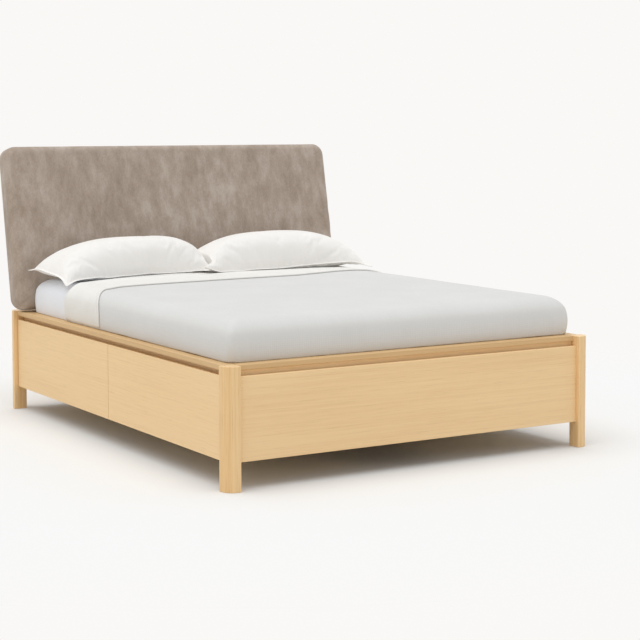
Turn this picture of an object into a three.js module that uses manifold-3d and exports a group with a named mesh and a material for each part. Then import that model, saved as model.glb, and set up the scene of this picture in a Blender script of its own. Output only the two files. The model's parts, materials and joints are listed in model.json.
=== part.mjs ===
// A storage bed: an oak frame on four round-cornered legs, four drawers that slide out
// under the slats, a leaning upholstered headboard, and the made bed that lies on it.
// Millimetres, +Z up. The foot end faces -Y, the headboard is at +Y, and the drawers open
// towards -X and +X. The origin is on the floor, in the middle of the bed's bounding box.
import * as THREE from 'three';
import { mergeVertices } from 'three/addons/utils/BufferGeometryUtils.js';
import Module from 'manifold-3d';

const wasm = await Module();
wasm.setup();

// Fits shared by all pieces
const seatGap = 0.25; // between faces that seat on each other
const softGap = 0.3; // between soft pieces and what they touch
const overrun = 5; // how far a cutter passes the face that it opens

// Frame
const bedWidth = 1672; // over the legs
const bedLength = 2160; // over the legs
const frameHeight = 455; // top of the legs and of the caps
const legSize = 60;
const legRound = 48; // radius of each leg's outer corner
const legEase = 3;
const legEndBevel = 1.5;
const panelSetback = 20; // panels and drawer fronts stand back from the legs' outer faces
const panelThickness = 22;
const panelBottom = 104;
const grooveHeight = 19; // the finger groove, between a panel and the cap over it
const arrisEase = 1.5; // softened edges of the boards
const tongueThickness = 8;
const tongueLength = 10;
const tongueStop = 12; // a tongue stops short of its panel's edges
const tongueClearance = 0.5;

// Rails and caps
const capThickness = 22;
const capEase = 4;
const sideCapSetback = 18; // the side cap's outer face, from the leg's outer face
const footCapSetback = 38;
const footCapWidth = 62;
const headCapInner = 100; // the head cap's inner edge, from the head legs' outer face
const grooveDepth = 30; // the finger groove, from the panel's face to the rail
const railThickness = 22;
const railHeight = 120;
const ledgeWidth = 28; // the rebate that carries the slats
const ledgeHeight = 24;

// Slats, centre beam and its legs
const slatCount = 11;
const slatWidth = 100;
const slatThickness = 20;
const slatEase = 5;
const slatEndClearance = 2;
const slatEndMargin = 24; // between the end slats and the rails
const beamWidth = 30;
const beamHeight = 100;
const beamEndClearance = 1;
const beamLegRadius = 20;
const beamLegPlaceShare = 0.27; // of the frame's length, from each end
const glideRadius = 24;
const glideHeight = 7;
const glideStemRadius = 8;
const glideStemHeight = 16;
const lathSegments = 28;

// Cross partitions that carry the drawers
const partitionThickness = 18;
const partitionLift = 14; // above the panels' lower edge
const notchClearance = 0.5;

// Drawers
const frontGap = 3; // between a drawer front and a leg, and between two fronts
const fingerBevel = 9; // on the back of a front's upper edge
const boxBackGap = 134; // from a box's back to the middle of the bed
const boxLift = 24; // above the panels' lower edge
const boxTopGap = 8; // under the rails
const boxWall = 16;
const boxSideGap = 4; // between a drawer's side and the partition
const bottomThickness = 6;
const bottomLet = 7; // how far the bottom panel is let into the walls
const bottomRaise = 12; // the bottom groove, above the walls' lower edge
const bottomClearance = 0.5;
const runnerHeight = 20;
const runnerRaiseShare = 0.51; // runner's lower edge, of the walls' height
const runnerLet = 7; // how far a runner enters the drawer's side
const runnerEndGap = 1; // between the runner's face and the groove's bottom
const runnerDrop = 1; // play under the runner
const runnerShort = 60; // how much shorter a runner is than its box
const runnerSetback = 10; // behind the partition's front edge
const runnerEase = 1;

// Headboard
const headboardOverhang = 18; // past the legs at each side
const headboardLift = 5; // lower edge above the caps
const headboardRise = 736; // from its lower edge to its top
const headboardReach = 178; // front face at the lower edge, from the head legs' outer face
const headboardLean = THREE.MathUtils.degToRad(11.1);
const padThickness = 98;
const padCornerRadius = 56;
const padFrontRadius = 34;
const padRearRadius = 16;
const padCrown = 7;
const boardThickness = 12;
const boardInset = 22;
const strutWidth = 50;
const strutPlaceShare = 0.6; // of half the bed's width, from its middle
const strutTab = 46; // the tab's end, above the head panel's lower edge
const strutRise = 290; // top of a strut above the pad's lower edge

// Mattress and bedding
const mattressMargin = 6; // between the mattress and the rails and foot cap
const mattressRearMargin = 2; // between the mattress and the headboard
const mattressThickness = 250;
const mattressCorner = 62;
const mattressTopRadius = 52;
const mattressBottomRadius = 18;
const mattressBulge = 24; // the sides swell above the caps
const mattressCrown = 5;
const sheetThickness = 1.6;
const coverletThickness = 3;
const tuckDepth = 40; // how far the cloths reach down behind the caps
const foldLeft = 572; // the top sheet's fold at the left side, from the head legs
const foldRight = 330;
const turnPlaceShares = [-1, -0.58, 0.44, 0.78, 1]; // of half the mattress's width
const turnDepths = [363, 199, 302, 263, 270]; // how far the sheet is turned back there
const cornerSteps = 4;

// Pillows
const pillowOverhang = 60; // how much wider a pillow is than half the mattress
const pillowDepth = 420;
const pillowCrown = 186;
const pillowFlange = 34;
const pillowEdge = 7; // thickness of the flange
const pillowDraw = 20; // how far the sides pull in between the corners
const pillowFoot = 26; // the flange's height above the underside
const pillowGap = 2; // between the two pillows
const pillowRear = 188; // the pillow's head edge, from the head legs
const pillowSteps = 28;
const pillowFullness = 2.6; // the power that squares off the stuffing's rise

// Places worked out from the sizes above
const halfWidth = bedWidth / 2;
const capBottom = frameHeight - capThickness;
const panelTop = capBottom - grooveHeight;
const railOuter = panelSetback + grooveDepth;
const railInner = railOuter + railThickness;
const railBottom = capBottom - railHeight;
const slatSeat = railBottom + ledgeHeight;
const slatTop = slatSeat + seatGap + slatThickness;
const panelBack = panelSetback + panelThickness;
const partitionBottom = panelBottom + partitionLift;
const partitionTop = railBottom - seatGap;
const boxBottom = panelBottom + boxLift;
const boxTop = railBottom - boxTopGap;
const boxDepth = halfWidth - panelBack - boxBackGap;
const runnerBottom = boxBottom + (boxTop - boxBottom) * runnerRaiseShare;
const runnerLength = boxDepth - runnerShort;
const midLength = bedLength / 2;
const headboardBottom = frameHeight + headboardLift;
const headboardTop = headboardBottom + headboardRise;
const strutBottom = panelBottom + strutTab;
const strutTop = headboardBottom + strutRise;
const mattressBase = slatTop + softGap;
const mattressTop = mattressBase + mattressThickness;
const mattressWidth = bedWidth - 2 * (railInner + mattressMargin);
const mattressEnd = footCapSetback + footCapWidth + mattressMargin;
const mattressRear = headboardReach - mattressRearMargin;
const pillowWidth = mattressWidth / 2 + pillowOverhang;
const pillowSpacing = (pillowWidth + pillowGap) / 2;

const finishes = {
  oak: { color: '#dcb98b', roughness: 0.55, metalness: 0 },
  oakRail: { color: '#d3ab76', roughness: 0.55, metalness: 0 },
  plywood: { color: '#d9bf94', roughness: 0.65, metalness: 0 },
  beech: { color: '#cf9f6b', roughness: 0.5, metalness: 0 },
  pine: { color: '#e6cfa4', roughness: 0.7, metalness: 0 },
  glidePost: { color: '#b98f5e', roughness: 0.55, metalness: 0 },
  upholstery: { color: '#a09184', roughness: 0.95, metalness: 0 },
  whiteSheet: { color: '#f1f0f2', roughness: 0.9, metalness: 0 },
  creamSheet: { color: '#eeece6', roughness: 0.9, metalness: 0 },
  greyCoverlet: { color: '#d5d5d2', roughness: 0.9, metalness: 0 },
  whiteCotton: { color: '#f4f2ef', roughness: 0.9, metalness: 0 },
};

const bed = new THREE.Group();

function add(name, geometry, finish, parent = bed) {
  const mesh = new THREE.Mesh(geometry, new THREE.MeshStandardMaterial(finishes[finish]));
  mesh.name = name;
  parent.add(mesh);
  return mesh;
}

// Side -1 is the left side and +1 the right; the result is the X of a plane that lies
// `depth` inside the legs' outer faces on that side.
function insideX(side, depth) {
  return side * (halfWidth - depth);
}

// End -1 is the foot end and +1 the head end; likewise along Y.
function insideY(end, depth) {
  return end < 0 ? depth : bedLength - depth;
}

const sideName = { '-1': 'left', '1': 'right' };
const endName = { '-1': 'foot', '1': 'head' };

// Solids

function toSolid(geometry) {
  const bare = geometry.clone();
  bare.deleteAttribute('normal');
  bare.deleteAttribute('uv');
  const merged = mergeVertices(bare);
  const mesh = new wasm.Mesh({
    numProp: 3,
    vertProperties: new Float32Array(merged.attributes.position.array),
    triVerts: new Uint32Array(merged.index.array),
  });
  return new wasm.Manifold(mesh);
}

function toGeometry(solid) {
  const mesh = solid.getMesh();
  const geometry = new THREE.BufferGeometry();
  geometry.setAttribute('position', new THREE.BufferAttribute(mesh.vertProperties, mesh.numProp));
  geometry.setIndex(new THREE.BufferAttribute(mesh.triVerts, 1));
  geometry.computeVertexNormals();
  return geometry;
}

function cut(geometry, ...cutters) {
  return toGeometry(cutters.reduce((solid, cutter) => solid.subtract(toSolid(cutter)), toSolid(geometry)));
}

function join(...geometries) {
  return toGeometry(geometries.map(toSolid).reduce((a, b) => a.add(b)));
}

// Which way a profile runs: the two profile axes and the length axis, in a right-hand turn.
const runs = {
  x: new THREE.Matrix4().makeBasis(
    new THREE.Vector3(0, 1, 0), new THREE.Vector3(0, 0, 1), new THREE.Vector3(1, 0, 0)),
  y: new THREE.Matrix4().makeBasis(
    new THREE.Vector3(0, 0, 1), new THREE.Vector3(1, 0, 0), new THREE.Vector3(0, 1, 0)),
  z: new THREE.Matrix4(),
};

// A closed outline carried along one axis from `start` to `end`.
function carry(shape, run, start, end, bevel = 0, bevelSteps = 1) {
  const low = Math.min(start, end);
  const length = Math.abs(end - start);
  const geometry = new THREE.ExtrudeGeometry(shape, {
    depth: length - 2 * bevel,
    bevelEnabled: bevel > 0,
    bevelThickness: bevel,
    bevelSize: bevel,
    bevelOffset: -bevel,
    bevelSegments: bevelSteps,
    curveSegments: cornerSteps,
  });
  geometry.translate(0, 0, low + bevel);
  geometry.applyMatrix4(runs[run]);
  return geometry;
}

// A rectangle between two corners, with its four corners rounded by `ease`.
function easedRectangle(a0, b0, a1, b1, ease) {
  const [left, right] = [Math.min(a0, a1), Math.max(a0, a1)];
  const [low, high] = [Math.min(b0, b1), Math.max(b0, b1)];
  const shape = new THREE.Shape();
  shape.moveTo(left + ease, low);
  shape.lineTo(right - ease, low);
  shape.absarc(right - ease, low + ease, ease, -Math.PI / 2, 0);
  shape.absarc(right - ease, high - ease, ease, 0, Math.PI / 2);
  shape.absarc(left + ease, high - ease, ease, Math.PI / 2, Math.PI);
  shape.absarc(left + ease, low + ease, ease, Math.PI, 1.5 * Math.PI);
  return shape;
}

// A board that fills the given space, with the edges along its run softened.
function board(run, [x0, x1], [y0, y1], [z0, z1], ease = arrisEase) {
  if (run === 'x') {
    return carry(easedRectangle(y0, z0, y1, z1, ease), run, x0, x1);
  }
  if (run === 'y') {
    return carry(easedRectangle(z0, x0, z1, x1, ease), run, y0, y1);
  }
  return carry(easedRectangle(x0, y0, x1, y1, ease), run, z0, z1);
}

// A plain block, for cutters and square pieces.
function block([x0, x1], [y0, y1], [z0, z1]) {
  const geometry = new THREE.BoxGeometry(Math.abs(x1 - x0), Math.abs(y1 - y0), Math.abs(z1 - z0));
  geometry.translate((x0 + x1) / 2, (y0 + y1) / 2, (z0 + z1) / 2);
  return geometry;
}

// Legs

// The leg's section: a square whose outer corner is a large round.
function legSection(side, end) {
  const corner = new THREE.Vector2(insideX(side, 0), insideY(end, 0));
  const inward = new THREE.Vector2(-side, -end);
  const at = (u, v) => new THREE.Vector2(corner.x + inward.x * u, corner.y + inward.y * v);
  const arc = (u, v, radius, from) => {
    const points = [];
    const steps = radius > legEase ? 4 * cornerSteps : cornerSteps;
    for (let i = 0; i <= steps; i += 1) {
      const angle = from + (i / steps) * (Math.PI / 2);
      points.push(at(u + radius * Math.cos(angle), v + radius * Math.sin(angle)));
    }
    return points;
  };
  const far = legSize - legEase;
  return new THREE.Shape([
    ...arc(legRound, legRound, legRound, Math.PI),
    ...arc(far, legEase, legEase, 1.5 * Math.PI),
    ...arc(far, far, legEase, 0),
    ...arc(legEase, far, legEase, Math.PI / 2),
  ]);
}

// The pocket on a leg's inner corner where the side rail is let in.
function railPocket(side, end) {
  const near = railOuter - seatGap;
  const far = legSize + overrun;
  return block(
    [insideX(side, near), insideX(side, far)],
    [insideY(end, near), insideY(end, far)],
    [railBottom - seatGap, capBottom + seatGap],
  );
}

// The tongue at one end of the foot or head panel, and with a clearance its mortise.
function panelTongue(side, end, clearance) {
  const middle = panelSetback + panelThickness / 2;
  const half = tongueThickness / 2 + clearance / 2;
  const top = end < 0 ? panelTop : capBottom;
  return block(
    [insideX(side, legSize + overrun), insideX(side, legSize - tongueLength - clearance)],
    [insideY(end, middle - half), insideY(end, middle + half)],
    [panelBottom + tongueStop - clearance / 2, top - tongueStop + clearance / 2],
  );
}

function leg(side, end) {
  const post = carry(legSection(side, end), 'z', 0, frameHeight, legEndBevel);
  return cut(post, railPocket(side, end), panelTongue(side, end, tongueClearance));
}

function addLegs() {
  for (const end of [-1, 1]) {
    for (const side of [-1, 1]) {
      add(`leg_${endName[end]}_${sideName[side]}`, leg(side, end), 'oak');
    }
  }
}

// Rails, caps and panels

// The side rail: an upright board with a rebate along its inner foot for the slats.
function sideRail(side) {
  const outer = insideX(side, railOuter);
  const inner = insideX(side, railInner);
  const ledge = insideX(side, railInner + ledgeWidth);
  const section = new THREE.Shape([
    new THREE.Vector2(railBottom, outer),
    new THREE.Vector2(capBottom - seatGap, outer),
    new THREE.Vector2(capBottom - seatGap, inner),
    new THREE.Vector2(slatSeat, inner),
    new THREE.Vector2(slatSeat, ledge),
    new THREE.Vector2(railBottom, ledge),
  ]);
  return carry(section, 'y', railOuter, bedLength - railOuter);
}

// A cross rail fits between the side rails and is notched over their ledges.
function crossRail(end) {
  const y = [insideY(end, railOuter), insideY(end, railInner)];
  const rail = board(
    'x',
    [insideX(-1, railInner + seatGap), insideX(1, railInner + seatGap)],
    y,
    [railBottom, capBottom - seatGap],
  );
  const notches = [-1, 1].map((side) => block(
    [insideX(side, railInner - overrun), insideX(side, railInner + ledgeWidth + seatGap)],
    [Math.min(...y) - overrun, Math.max(...y) + overrun],
    [railBottom - overrun, slatSeat + seatGap],
  ));
  return cut(rail, ...notches);
}

function sideCap(side) {
  return board(
    'y',
    [insideX(side, sideCapSetback), insideX(side, railInner)],
    [legSize + seatGap, bedLength - legSize - seatGap],
    [capBottom, frameHeight],
    capEase,
  );
}

// A cross cap fits between the legs and, behind them, between the side caps.
function crossCap(end, outerDepth, innerDepth) {
  const atLegs = insideX(1, legSize + seatGap);
  const atCaps = insideX(1, railInner + seatGap);
  const [outer, step, inner] = [outerDepth, legSize, innerDepth].map((depth) => insideY(end, depth));
  const plan = new THREE.Shape([
    new THREE.Vector2(-atLegs, outer),
    new THREE.Vector2(atLegs, outer),
    new THREE.Vector2(atLegs, step),
    new THREE.Vector2(atCaps, step),
    new THREE.Vector2(atCaps, inner),
    new THREE.Vector2(-atCaps, inner),
    new THREE.Vector2(-atCaps, step),
    new THREE.Vector2(-atLegs, step),
  ]);
  return carry(plan, 'z', capBottom, frameHeight, capEase, cornerSteps);
}

function endPanel(end) {
  const top = end < 0 ? panelTop : capBottom - seatGap;
  const panel = board(
    'x',
    [insideX(-1, legSize + seatGap), insideX(1, legSize + seatGap)],
    [insideY(end, panelSetback), insideY(end, panelBack)],
    [panelBottom, top],
  );
  return join(panel, panelTongue(-1, end, 0), panelTongue(1, end, 0));
}

function addFrame() {
  for (const side of [-1, 1]) {
    add(`side_rail_${sideName[side]}`, sideRail(side), 'oakRail');
    add(`side_cap_${sideName[side]}`, sideCap(side), 'oak');
  }
  for (const end of [-1, 1]) {
    add(`${endName[end]}_rail`, crossRail(end), 'oakRail');
    add(`${endName[end]}_panel`, endPanel(end), 'oak');
  }
  add('foot_cap', crossCap(-1, footCapSetback, footCapSetback + footCapWidth), 'oak');
  add('head_cap', crossCap(1, panelSetback, headCapInner), 'oak');
}

// Partitions, beam and slats

const partitionPlaces = [
  { name: 'foot', low: railInner + seatGap },
  { name: 'middle', low: midLength - partitionThickness / 2 },
  { name: 'head', low: bedLength - railInner - seatGap - partitionThickness },
];

// A board across the bed under the side rails, notched at its upper edge for the beam.
function partition(low) {
  const y = [low, low + partitionThickness];
  const reach = beamWidth / 2 + notchClearance / 2;
  const panel = board(
    'x',
    [insideX(-1, railOuter), insideX(1, railOuter)],
    y,
    [partitionBottom, partitionTop],
  );
  const notch = block(
    [-reach, reach],
    [low - overrun, low + partitionThickness + overrun],
    [slatSeat - beamHeight - seatGap, partitionTop + overrun],
  );
  return cut(panel, notch);
}

function centreBeam() {
  const end = railInner + beamEndClearance;
  return board(
    'y',
    [-beamWidth / 2, beamWidth / 2],
    [end, bedLength - end],
    [slatSeat - beamHeight, slatSeat],
  );
}

// A turned post with a levelling glide at its foot.
function beamLeg(y) {
  const top = slatSeat - beamHeight - seatGap;
  const stemTop = glideHeight + glideStemHeight;
  const profile = [
    new THREE.Vector2(0, 0),
    new THREE.Vector2(glideRadius, 0),
    new THREE.Vector2(glideRadius, glideHeight),
    new THREE.Vector2(glideStemRadius, glideHeight),
    new THREE.Vector2(glideStemRadius, stemTop),
    new THREE.Vector2(beamLegRadius, stemTop),
    new THREE.Vector2(beamLegRadius, top),
    new THREE.Vector2(0, top),
  ];
  const geometry = new THREE.LatheGeometry(profile, lathSegments);
  geometry.rotateX(Math.PI / 2);
  geometry.translate(0, y, 0);
  return geometry;
}

function slat(index) {
  const first = railInner + slatEndMargin;
  const pitch = (bedLength - 2 * first - slatWidth) / (slatCount - 1);
  const low = first + index * pitch;
  const end = railInner + slatEndClearance;
  return board(
    'x',
    [insideX(-1, end), insideX(1, end)],
    [low, low + slatWidth],
    [slatSeat + seatGap, slatTop],
    slatEase,
  );
}

function addUndercarriage() {
  for (const place of partitionPlaces) {
    add(`partition_${place.name}`, partition(place.low), 'plywood');
  }
  add('centre_beam', centreBeam(), 'pine');
  add('beam_leg_foot', beamLeg(bedLength * beamLegPlaceShare), 'glidePost');
  add('beam_leg_head', beamLeg(bedLength * (1 - beamLegPlaceShare)), 'glidePost');
  for (let i = 0; i < slatCount; i += 1) {
    add(`slat_${i + 1}`, slat(i), 'pine');
  }
}

// Drawers

// The two faces that a drawer runs between: [towards the foot, towards the head].
const bays = {
  foot: [partitionPlaces[0].low + partitionThickness, partitionPlaces[1].low],
  head: [partitionPlaces[1].low + partitionThickness, partitionPlaces[2].low],
};

const frontSpans = {
  foot: [legSize + frontGap, midLength - frontGap / 2],
  head: [midLength + frontGap / 2, bedLength - legSize - frontGap],
};

// The front: eased at its face, and bevelled behind its upper edge for the fingers.
function drawerFront(side, bay) {
  const face = insideX(side, panelSetback);
  const back = insideX(side, panelBack);
  const inward = -side;
  const section = new THREE.Shape([
    new THREE.Vector2(panelBottom, face + inward * arrisEase),
    new THREE.Vector2(panelBottom + arrisEase, face),
    new THREE.Vector2(panelTop - arrisEase, face),
    new THREE.Vector2(panelTop, face + inward * arrisEase),
    new THREE.Vector2(panelTop, back - inward * fingerBevel),
    new THREE.Vector2(panelTop - fingerBevel, back),
    new THREE.Vector2(panelBottom, back),
  ]);
  return carry(section, 'y', ...frontSpans[bay]);
}

function boxSpace(side, bay) {
  const [low, high] = bays[bay];
  const start = panelBack + seatGap;
  return {
    x: [insideX(side, start), insideX(side, start + boxDepth)],
    y: [low + boxSideGap, high - boxSideGap],
    z: [boxBottom, boxTop],
  };
}

// The stopped groove in a drawer's side that slides on its runner.
function runnerGroove(side, y, into) {
  const start = railOuter + runnerSetback - seatGap;
  const high = runnerBottom + runnerHeight + seatGap;
  return block(
    [insideX(side, start), insideX(side, panelBack + boxDepth + overrun)],
    [y - into * overrun, y + into * (runnerLet + runnerEndGap)],
    [runnerBottom - runnerDrop, high],
  );
}

// Four walls, grooved inside for the bottom panel and outside for the runners.
function drawerBox(side, bay) {
  const space = boxSpace(side, bay);
  const inward = -side;
  const [front, back] = space.x;
  const [low, high] = space.y;
  const walls = block(space.x, space.y, space.z);
  const inside = block(
    [front + inward * boxWall, back - inward * boxWall],
    [low + boxWall, high - boxWall],
    [boxBottom - overrun, boxTop + overrun],
  );
  const letIn = boxWall - bottomLet - bottomClearance;
  const bottomZ = boxBottom + bottomRaise;
  const bottomGroove = block(
    [front + inward * letIn, back - inward * letIn],
    [low + letIn, high - letIn],
    [bottomZ - bottomClearance / 2, bottomZ + bottomThickness + bottomClearance / 2],
  );
  return cut(walls, inside, bottomGroove, runnerGroove(side, low, 1), runnerGroove(side, high, -1));
}

function drawerBottom(side, bay) {
  const space = boxSpace(side, bay);
  const inward = -side;
  const edge = boxWall - bottomLet;
  const [front, back] = space.x;
  const [low, high] = space.y;
  const bottomZ = boxBottom + bottomRaise;
  return block(
    [front + inward * edge, back - inward * edge],
    [low + edge, high - edge],
    [bottomZ, bottomZ + bottomThickness],
  );
}

// A hardwood strip on the partition's face; `into` points at the drawer.
function runner(side, y, into) {
  const start = railOuter + runnerSetback;
  return board(
    'x',
    [insideX(side, start), insideX(side, start + runnerLength)],
    [y + into * seatGap, y + into * (boxSideGap + runnerLet)],
    [runnerBottom, runnerBottom + runnerHeight],
    runnerEase,
  );
}

function addDrawers() {
  for (const side of [-1, 1]) {
    for (const bay of ['foot', 'head']) {
      const name = `${sideName[side]}_${bay}`;
      add(`drawer_front_${name}`, drawerFront(side, bay), 'oak');
      add(`drawer_box_${name}`, drawerBox(side, bay), 'plywood');
      add(`drawer_bottom_${name}`, drawerBottom(side, bay), 'plywood');
      const [low, high] = bays[bay];
      add(`runner_${name}_1`, runner(side, low, 1), 'beech');
      add(`runner_${name}_2`, runner(side, high, -1), 'beech');
    }
  }
}

// Soft forms

// A ring of points round a rectangle with round corners, anticlockwise seen from +Z.
function roundedRing([x0, x1], [y0, y1], radius, z) {
  const points = [];
  const corners = [[x1 - radius, y1 - radius], [x0 + radius, y1 - radius],
    [x0 + radius, y0 + radius], [x1 - radius, y0 + radius]];
  corners.forEach(([cx, cy], quarter) => {
    for (let i = 0; i <= cornerSteps; i += 1) {
      const angle = (quarter + i / cornerSteps) * (Math.PI / 2);
      points.push(new THREE.Vector3(cx + radius * Math.cos(angle), cy + radius * Math.sin(angle), z));
    }
  });
  return points;
}

// A closed skin over a stack of rings, with a point in the middle of each end.
function skin(rings) {
  const count = rings[0].length;
  const last = rings.length - 1;
  const middle = (ring) => ring.reduce((sum, p) => sum.add(p), new THREE.Vector3()).divideScalar(count);
  const points = [...rings.flat(), middle(rings[0]), middle(rings[last])];
  const index = [];
  for (let i = 0; i < count; i += 1) {
    const next = (i + 1) % count;
    for (let r = 0; r < last; r += 1) {
      const [a, b] = [r * count + i, r * count + next];
      index.push(a, b, b + count, a, b + count, a + count);
    }
    index.push(points.length - 2, next, i);
    index.push(points.length - 1, last * count + i, last * count + next);
  }
  const geometry = new THREE.BufferGeometry().setFromPoints(points);
  geometry.setIndex(index);
  geometry.computeVertexNormals();
  return geometry;
}

// How far in from the side a round edge of radius r lies, at height h above its start.
function roundInset(radius, h) {
  return radius - Math.sqrt(Math.max(0, radius * radius - h * h));
}

const mattressRiseShares = [0, 0.3, 0.7, 1];
const mattressSwellShares = [0.2, 0.45, 0.7];
const mattressCrownShares = [0.82, 0.55, 0.25];

// Rings of the mattress, or of a cloth laid on it, `offset` outside the mattress. The sides
// and the foot swell out above the caps; the head end stays flat against the headboard.
function mattressRings(offset, base) {
  const top = mattressTop + offset;
  const radius = mattressTopRadius + offset;
  const shoulder = top - radius;
  const headEnd = bedLength - mattressRear;
  const ringAt = (inset, swell, z) => {
    const halfX = mattressWidth / 2 + offset + swell - inset;
    const y = [mattressEnd - offset - swell + inset, headEnd + offset - inset];
    return roundedRing([-halfX, halfX], y, mattressCorner + offset - inset, z);
  };
  const swellAt = (z) => {
    const rise = (z - frameHeight) / (top - frameHeight);
    return mattressBulge * Math.sin(Math.PI * THREE.MathUtils.clamp(rise, 0, 1));
  };
  const rings = [];
  if (offset === 0) {
    for (const share of mattressRiseShares) {
      const h = mattressBottomRadius * share;
      rings.push(ringAt(roundInset(mattressBottomRadius, mattressBottomRadius - h), 0, base + h));
    }
  } else {
    rings.push(ringAt(0, 0, base));
  }
  rings.push(ringAt(0, 0, frameHeight));
  for (const share of mattressSwellShares) {
    const z = frameHeight + (shoulder - frameHeight) * share;
    rings.push(ringAt(0, swellAt(z), z));
  }
  for (let i = 0; i <= cornerSteps; i += 1) {
    const angle = (i / (cornerSteps + 1)) * (Math.PI / 2);
    const z = shoulder + radius * Math.sin(angle);
    rings.push(ringAt(radius * (1 - Math.cos(angle)), swellAt(z), z));
  }
  const middle = (mattressEnd + headEnd) / 2;
  const flatX = mattressWidth / 2 - mattressTopRadius;
  const flatY = (headEnd - mattressEnd) / 2 - mattressTopRadius;
  for (const share of mattressCrownShares) {
    const z = top + mattressCrown * (1 - share * share);
    const y = [middle - flatY * share, middle + flatY * share];
    rings.push(roundedRing([-flatX * share, flatX * share], y, mattressCorner * share, z));
  }
  return rings;
}

// The Y of the top sheet's fold, which slants across the bed.
function foldY(x) {
  const share = THREE.MathUtils.clamp(0.5 + x / mattressWidth, 0, 1);
  return bedLength - THREE.MathUtils.lerp(foldLeft, foldRight, share);
}

// A line across the bed through [X, Y] places, carried on past both sides.
function across(places) {
  const reach = halfWidth + overrun;
  const ends = [[-reach, places[0][1]], [reach, places[places.length - 1][1]]];
  return [ends[0], ...places, ends[1]].map(([x, y]) => new THREE.Vector2(x, y));
}

// A cloth that wraps the mattress between two cut lines across the bed.
function wrappedCloth(inner, thickness, footLine, headLine) {
  const low = frameHeight - tuckDepth;
  const outside = toSolid(skin(mattressRings(inner + thickness, low)));
  const inside = toSolid(skin(mattressRings(inner, low - overrun)));
  const outline = new THREE.Shape([...footLine, ...headLine.toReversed()]);
  const band = carry(outline, 'z', low - 2 * overrun, headboardTop);
  return toGeometry(outside.subtract(inside).intersect(toSolid(band)));
}

// The height of a pillow's stuffing: full in the middle and nothing on its flange.
function stuffing(u, v) {
  const share = (s, half) => {
    const reach = Math.min(1, Math.abs(s) / (1 - pillowFlange / half));
    return Math.sqrt(Math.max(0, 1 - reach ** pillowFullness));
  };
  return share(u, pillowWidth / 2) * share(v, pillowDepth / 2);
}

// A pillow: a crowned top, a nearly flat underside, and sides that draw in between corners.
// Both faces are grids of the same size, joined round the rim.
function pillow() {
  const n = pillowSteps;
  const points = [];
  const index = [];
  const place = (u, v, face) => {
    const x = u * (pillowWidth / 2 - pillowDraw * (1 - v * v));
    const y = v * (pillowDepth / 2 - pillowDraw * (1 - u * u));
    const fill = stuffing(u, v);
    const rise = face > 0 ? pillowEdge + (pillowCrown - pillowFoot - pillowEdge) * fill : -pillowFoot * fill;
    return new THREE.Vector3(x, y, pillowFoot + rise);
  };
  // The samples crowd towards the rim, where the form turns fastest.
  const spread = (i) => Math.sin(((i / n) * 2 - 1) * (Math.PI / 2));
  const row = n + 1;
  for (const face of [1, -1]) {
    const first = points.length;
    for (let j = 0; j <= n; j += 1) {
      for (let i = 0; i <= n; i += 1) {
        points.push(place(spread(i), spread(j), face));
      }
    }
    for (let j = 0; j < n; j += 1) {
      for (let i = 0; i < n; i += 1) {
        const a = first + j * row + i;
        const quad = [a, a + 1, a + row + 1, a + row];
        const order = face > 0 ? quad : quad.reverse();
        index.push(order[0], order[1], order[2], order[0], order[2], order[3]);
      }
    }
  }
  const under = row * row;
  const steps = [...Array(n).keys()];
  const rim = [
    ...steps,
    ...steps.map((j) => j * row + n),
    ...steps.map((i) => n * row + n - i),
    ...steps.map((j) => (n - j) * row),
  ];
  rim.forEach((a, k) => {
    const b = rim[(k + 1) % rim.length];
    index.push(a, under + a, under + b, a, under + b, b);
  });
  const geometry = new THREE.BufferGeometry().setFromPoints(points);
  geometry.setIndex(index);
  geometry.computeVertexNormals();
  return geometry;
}

// The height of the bedding at a place: the mattress's crown, and the cloths where they lie.
function beddingTop(x, y) {
  const headEnd = bedLength - mattressRear;
  const middle = (mattressEnd + headEnd) / 2;
  const shareX = Math.abs(x) / (mattressWidth / 2 - mattressTopRadius);
  const shareY = Math.abs(y - middle) / ((headEnd - mattressEnd) / 2 - mattressTopRadius);
  const crown = mattressCrown * (1 - Math.max(shareX, shareY) ** 2);
  const cloths = y < foldY(x) ? 2 * softGap + coverletThickness + sheetThickness : 0;
  return mattressTop + crown + cloths;
}

function addPillows() {
  for (const side of [-1, 1]) {
    const geometry = pillow();
    const middle = new THREE.Vector3(side * pillowSpacing, bedLength - pillowRear - pillowDepth / 2, 0);
    const points = geometry.attributes.position;
    let seat = 0;
    for (let i = 0; i < points.count; i += 1) {
      const top = beddingTop(middle.x + points.getX(i), middle.y + points.getY(i));
      seat = Math.max(seat, top - points.getZ(i));
    }
    const mesh = add(`pillow_${sideName[side]}`, geometry, 'whiteCotton');
    mesh.position.copy(middle).setZ(seat + softGap);
  }
}

function addBedding() {
  const half = mattressWidth / 2;
  const footEnd = across([-half, half].map((x) => [x, -overrun]));
  const fold = across([-half, half].map((x) => [x, foldY(x)]));
  const turnEdge = across(turnPlaceShares.map((share, i) => {
    const x = half * share;
    return [x, foldY(x) - turnDepths[i]];
  }));
  add('mattress', skin(mattressRings(0, mattressBase)), 'whiteSheet');
  add('coverlet', wrappedCloth(softGap, coverletThickness, footEnd, fold), 'greyCoverlet');
  const sheetInner = softGap + coverletThickness + softGap;
  add('top_sheet', wrappedCloth(sheetInner, sheetThickness, turnEdge, fold), 'creamSheet');
  addPillows();
}

// Headboard

const padHeight = (headboardTop - headboardBottom) / Math.cos(headboardLean);
const padWidth = bedWidth + 2 * headboardOverhang;
const padRingShares = [0, 0.3, 0.6, 0.85, 1];
const padCrownShares = [0.9, 0.7, 0.4];

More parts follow.
